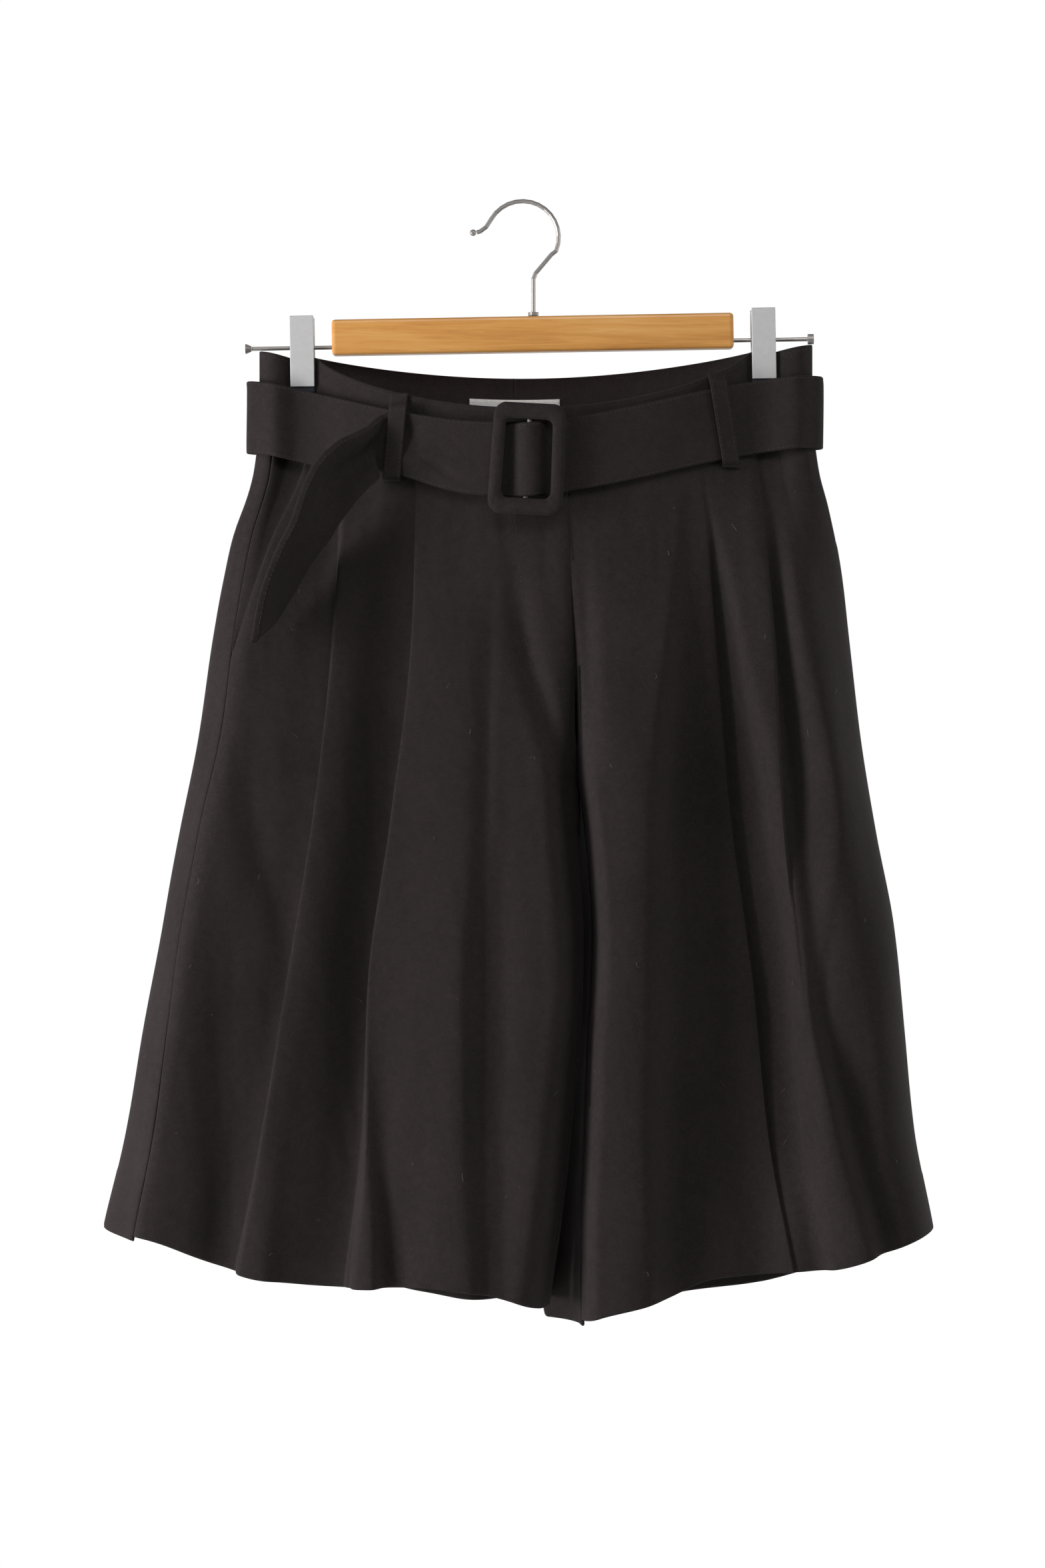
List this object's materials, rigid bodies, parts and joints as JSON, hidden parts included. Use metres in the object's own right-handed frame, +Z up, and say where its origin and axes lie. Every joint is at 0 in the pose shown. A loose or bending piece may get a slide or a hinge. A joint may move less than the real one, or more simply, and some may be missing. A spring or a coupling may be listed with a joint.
{
  "type": "bermuda shorts on a clip hanger",
  "caption": "Wide-leg pleated knee-length shorts with a self-fabric belt and covered buckle, hung by the waist from a wooden bar hanger with two flat clips.",
  "frame": {"origin": "the inner top of the hanger's hook, where it rests on a rail", "axes": "+Z up, -Y towards the garment's front, +X to the right of someone looking at the front"},
  "size_m": [0.5717, 0.125, 0.775],
  "materials": {
    "cloth": "fine plain weave, matt",
    "label": "smooth woven",
    "wood": "satin varnish",
    "steel": "bright plated steel",
    "pad": "matt"
  },
  "bodies": {
    "root": {"back_left": "cloth", "back_right": "cloth", "belt": "cloth", "buckle_bar": "steel", "buckle_frame": "cloth", "clip_hub_left": "steel", "clip_hub_right": "steel", "clip_left_back": "steel", "clip_left_front": "steel", "clip_pad_left_back": "pad", "clip_pad_left_front": "pad", "clip_pad_right_back": "pad", "clip_pad_right_front": "pad", "clip_right_back": "steel", "clip_right_front": "steel", "front_left": "cloth", "front_right": "cloth", "hanger_bar": "wood", "hanger_collar": "steel", "hanger_hook": "steel", "hanger_hook_ball": "steel", "hanger_knob_left": "steel", "hanger_knob_right": "steel", "hanger_rod_left": "steel", "hanger_rod_right": "steel", "label": "label", "loop_back_left": "cloth", "loop_back_right": "cloth", "loop_front_left": "cloth", "loop_front_right": "cloth", "pocket_facing_left": "cloth", "pocket_facing_right": "cloth", "waistband_back_left": "cloth", "waistband_back_right": "cloth", "waistband_front_left": "cloth", "waistband_front_right": "cloth"}
  },
  "joints": []
}
